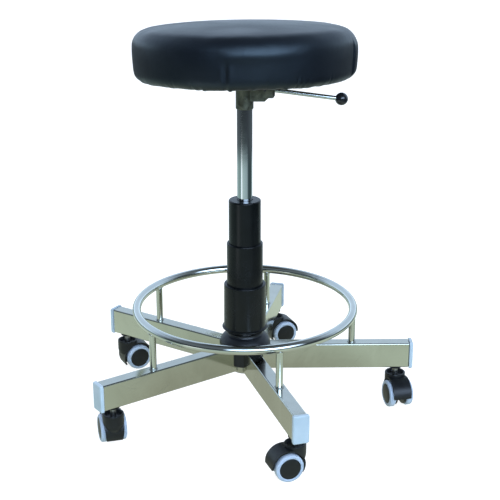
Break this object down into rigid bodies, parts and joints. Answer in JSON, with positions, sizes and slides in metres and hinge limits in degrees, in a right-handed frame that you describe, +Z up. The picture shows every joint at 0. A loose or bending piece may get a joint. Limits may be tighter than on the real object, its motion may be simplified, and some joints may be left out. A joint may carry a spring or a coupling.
{
  "type": "dentist stool",
  "caption": "Round padded swivel stool on a gas lift with telescopic covers, foot ring, straight steel legs, twin-wheel casters and a release lever.",
  "frame": {"origin": "on the column axis, at the floor under the wheels", "axes": "+Z up along the column, +X towards the release lever, -Y towards the raised front edge of the seat"},
  "size_m": [0.5997, 0.6349, 0.7375],
  "materials": {
    "leg_steel": "polished",
    "end_cap_plastic": "satin",
    "hub_steel": "satin",
    "ring_chrome": "polished",
    "black_plastic": "satin",
    "dome_rubber": "satin",
    "column_steel": "satin",
    "tube_chrome": "polished",
    "mechanism_steel": "satin",
    "plywood": "matte",
    "foam": "matte",
    "leatherette": "satin",
    "caster_black": "satin",
    "pin_steel": "satin",
    "tyre_grey": "satin"
  },
  "bodies": {
    "base": {"hub_sleeve": "hub_steel", "leg_right": "leg_steel", "leg_back_right": "leg_steel", "leg_back_left": "leg_steel", "leg_front_left": "leg_steel", "leg_front_right": "leg_steel", "leg_end_caps": "end_cap_plastic", "foot_ring": "ring_chrome", "foot_ring_posts": "ring_chrome", "caster_sockets": "black_plastic", "column_tube": "column_steel", "column_guide_bush": "black_plastic", "thrust_bearing": "column_steel", "base_dome": "dome_rubber"},
    "upper_cover": {"cover_upper": "black_plastic"},
    "middle_cover": {"cover_middle": "black_plastic"},
    "lower_cover": {"cover_lower": "black_plastic"},
    "spindle": {"piston_rod": "column_steel", "piston_clip": "column_steel"},
    "seat": {"pressure_tube": "tube_chrome", "mechanism_socket": "mechanism_steel", "lever_housing": "mechanism_steel", "seat_plate": "mechanism_steel", "seat_bolts": "mechanism_steel", "seat_board": "plywood", "seat_foam": "foam", "seat_cover": "leatherette"},
    "lever": {"lever_rod": "tube_chrome", "lever_knob": "black_plastic"},
    "button": {"release_button": "column_steel"},
    "caster_right": {"caster_right_hood": "caster_black", "caster_right_pins": "pin_steel"},
    "wheel_right_a": {"caster_right_hub_a": "caster_black", "caster_right_tyre_a": "tyre_grey"},
    "wheel_right_b": {"caster_right_hub_b": "caster_black", "caster_right_tyre_b": "tyre_grey"},
    "caster_back_right": {"caster_back_right_hood": "caster_black", "caster_back_right_pins": "pin_steel"},
    "wheel_back_right_a": {"caster_back_right_hub_a": "caster_black", "caster_back_right_tyre_a": "tyre_grey"},
    "wheel_back_right_b": {"caster_back_right_hub_b": "caster_black", "caster_back_right_tyre_b": "tyre_grey"},
    "caster_back_left": {"caster_back_left_hood": "caster_black", "caster_back_left_pins": "pin_steel"},
    "wheel_back_left_a": {"caster_back_left_hub_a": "caster_black", "caster_back_left_tyre_a": "tyre_grey"},
    "wheel_back_left_b": {"caster_back_left_hub_b": "caster_black", "caster_back_left_tyre_b": "tyre_grey"},
    "caster_front_left": {"caster_front_left_hood": "caster_black", "caster_front_left_pins": "pin_steel"},
    "wheel_front_left_a": {"caster_front_left_hub_a": "caster_black", "caster_front_left_tyre_a": "tyre_grey"},
    "wheel_front_left_b": {"caster_front_left_hub_b": "caster_black", "caster_front_left_tyre_b": "tyre_grey"},
    "caster_front_right": {"caster_front_right_hood": "caster_black", "caster_front_right_pins": "pin_steel"},
    "wheel_front_right_a": {"caster_front_right_hub_a": "caster_black", "caster_front_right_tyre_a": "tyre_grey"},
    "wheel_front_right_b": {"caster_front_right_hub_b": "caster_black", "caster_front_right_tyre_b": "tyre_grey"}
  },
  "joints": [
    {"name": "seat_swivel", "type": "hinge", "parent": "base", "child": "spindle", "pos_m": [0, 0, 0.084], "axis": [0, 0, 1], "continuous": true},
    {"name": "seat_lift", "type": "slide", "parent": "spindle", "child": "seat", "axis": [0, 0, 1], "range_m": [-0.16, 0]},
    {"name": "lever_tilt", "type": "hinge", "parent": "seat", "child": "lever", "pos_m": [0.036, 0, 0.6174], "axis": [0, -1, 0], "range_deg": [0, 6], "stiffness_Nm_per_rad": 15},
    {"name": "button_press", "type": "slide", "parent": "seat", "child": "button", "axis": [0, 0, -1], "range_m": [0, 0.0038]},
    {"name": "cover_upper_slide", "type": "slide", "parent": "base", "child": "upper_cover", "axis": [0, 0, 1], "range_m": [0, 0.15]},
    {"name": "cover_middle_slide", "type": "slide", "parent": "upper_cover", "child": "middle_cover", "axis": [0, 0, 1], "range_m": [0, 0.08]},
    {"name": "cover_lower_slide", "type": "slide", "parent": "middle_cover", "child": "lower_cover", "axis": [0, 0, 1], "range_m": [0, 0.078]},
    {"name": "caster_swivel_right", "type": "hinge", "parent": "base", "child": "caster_right", "pos_m": [0.29098, 0.00305, 0.073], "axis": [0, 0, 1], "continuous": true},
    {"name": "wheel_spin_right_a", "type": "hinge", "parent": "caster_right", "child": "wheel_right_a", "pos_m": [0.29522, -0.01393, 0.0257], "axis": [0.9703, 0.2419, 0], "continuous": true},
    {"name": "wheel_spin_right_b", "type": "hinge", "parent": "caster_right", "child": "wheel_right_b", "pos_m": [0.29522, -0.01393, 0.0257], "axis": [0.9703, 0.2419, 0], "continuous": true},
    {"name": "caster_swivel_back_right", "type": "hinge", "parent": "base", "child": "caster_back_right", "pos_m": [0.06398, 0.28388, 0.073], "axis": [0, 0, 1], "continuous": true},
    {"name": "wheel_spin_back_right_a", "type": "hinge", "parent": "caster_back_right", "child": "wheel_back_right_a", "pos_m": [0.0802, 0.29044, 0.0257], "axis": [-0.3746, 0.9272, 0], "continuous": true},
    {"name": "wheel_spin_back_right_b", "type": "hinge", "parent": "caster_back_right", "child": "wheel_back_right_b", "pos_m": [0.0802, 0.29044, 0.0257], "axis": [-0.3746, 0.9272, 0], "continuous": true},
    {"name": "caster_swivel_back_left", "type": "hinge", "parent": "base", "child": "caster_back_left", "pos_m": [-0.24294, 0.16019, 0.073], "axis": [0, 0, 1], "continuous": true},
    {"name": "wheel_spin_back_left_a", "type": "hinge", "parent": "caster_back_left", "child": "wheel_back_left_a", "pos_m": [-0.22735, 0.16814, 0.0257], "axis": [-0.454, 0.891, 0], "continuous": true},
    {"name": "wheel_spin_back_left_b", "type": "hinge", "parent": "caster_back_left", "child": "wheel_back_left_b", "pos_m": [-0.22735, 0.16814, 0.0257], "axis": [-0.454, 0.891, 0], "continuous": true},
    {"name": "caster_swivel_front_left", "type": "hinge", "parent": "base", "child": "caster_front_left", "pos_m": [-0.23779, -0.16774, 0.073], "axis": [0, 0, 1], "continuous": true},
    {"name": "wheel_spin_front_left_a", "type": "hinge", "parent": "caster_front_left", "child": "wheel_front_left_a", "pos_m": [-0.24261, -0.15092, 0.0257], "axis": [-0.9613, -0.2756, 0], "continuous": true},
    {"name": "wheel_spin_front_left_b", "type": "hinge", "parent": "caster_front_left", "child": "wheel_front_left_b", "pos_m": [-0.24261, -0.15092, 0.0257], "axis": [-0.9613, -0.2756, 0], "continuous": true},
    {"name": "caster_swivel_front_right", "type": "hinge", "parent": "base", "child": "caster_front_right", "pos_m": [0.08557, -0.27814, 0.073], "axis": [0, 0, 1], "continuous": true},
    {"name": "wheel_spin_front_right_a", "type": "hinge", "parent": "caster_front_right", "child": "wheel_front_right_a", "pos_m": [0.06912, -0.28412, 0.0257], "axis": [0.342, -0.9397, 0], "continuous": true},
    {"name": "wheel_spin_front_right_b", "type": "hinge", "parent": "caster_front_right", "child": "wheel_front_right_b", "pos_m": [0.06912, -0.28412, 0.0257], "axis": [0.342, -0.9397, 0], "continuous": true}
  ],
  "couplings": [
    {"joint": "button_press", "follows": "lever_tilt", "m_per_rad": 0.036}
  ]
}
